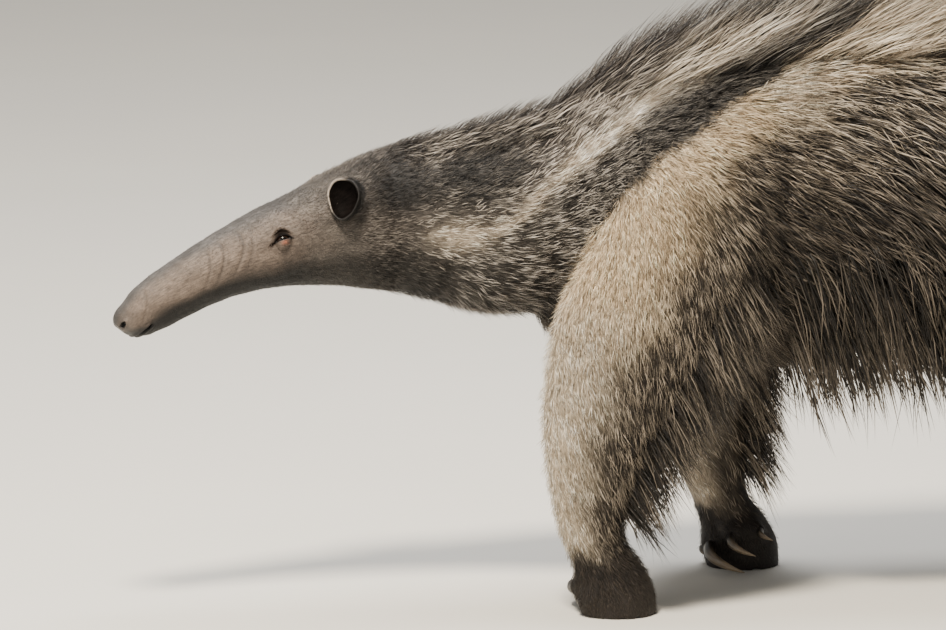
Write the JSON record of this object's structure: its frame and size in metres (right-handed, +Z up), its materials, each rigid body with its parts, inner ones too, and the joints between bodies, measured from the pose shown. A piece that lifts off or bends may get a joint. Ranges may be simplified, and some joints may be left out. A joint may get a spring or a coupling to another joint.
{
  "type": "giant anteater",
  "caption": "Life-size giant anteater walking with its long tubular head held low, a bristly crest along the back and a long hanging plume of a tail.",
  "frame": {"origin": "on the floor under the centre of the model's bounding box", "axes": "-X to the tip of the nose, +X to the tip of the tail, -Y to the animal's left, +Z up"},
  "size_m": [2.0402, 0.3608, 0.7072],
  "materials": {
    "snout_hide": "short-haired hide, dull",
    "head_coat": "short dense coat, dull",
    "ear_coat": "short dense coat, dull",
    "neck_coat": "coarse coat, dull",
    "body_coat": "long bristly coat, dull",
    "tail_hair": "long coarse hair, dull",
    "foreleg_coat": "coarse pale coat, dull",
    "hindleg_coat": "long coarse coat, dull",
    "foot_hide": "bare and thinly haired hide, dull",
    "claw": "worn keratin, semi-gloss",
    "eye": "wet and glossy"
  },
  "bodies": {
    "root": {"ear_left": "ear_coat", "ear_right": "ear_coat", "eye_left": "eye", "eye_right": "eye", "forefoot_claw_left_1": "claw", "forefoot_claw_left_2": "claw", "forefoot_claw_left_3": "claw", "forefoot_claw_left_4": "claw", "forefoot_claw_right_1": "claw", "forefoot_claw_right_2": "claw", "forefoot_claw_right_3": "claw", "forefoot_claw_right_4": "claw", "forefoot_left": "foot_hide", "forefoot_right": "foot_hide", "foreleg_lower_left": "foreleg_coat", "foreleg_lower_right": "foreleg_coat", "foreleg_upper_left": "foreleg_coat", "foreleg_upper_right": "foreleg_coat", "head": "head_coat", "hindfoot_claw_left_1": "claw", "hindfoot_claw_left_2": "claw", "hindfoot_claw_left_3": "claw", "hindfoot_claw_left_4": "claw", "hindfoot_claw_left_5": "claw", "hindfoot_claw_right_1": "claw", "hindfoot_claw_right_2": "claw", "hindfoot_claw_right_3": "claw", "hindfoot_claw_right_4": "claw", "hindfoot_claw_right_5": "claw", "hindfoot_left": "foot_hide", "hindfoot_right": "foot_hide", "hindleg_lower_left": "hindleg_coat", "hindleg_lower_right": "hindleg_coat", "hindleg_upper_left": "hindleg_coat", "hindleg_upper_right": "hindleg_coat", "neck": "neck_coat", "snout": "snout_hide", "tail": "tail_hair", "torso": "body_coat"}
  },
  "joints": []
}
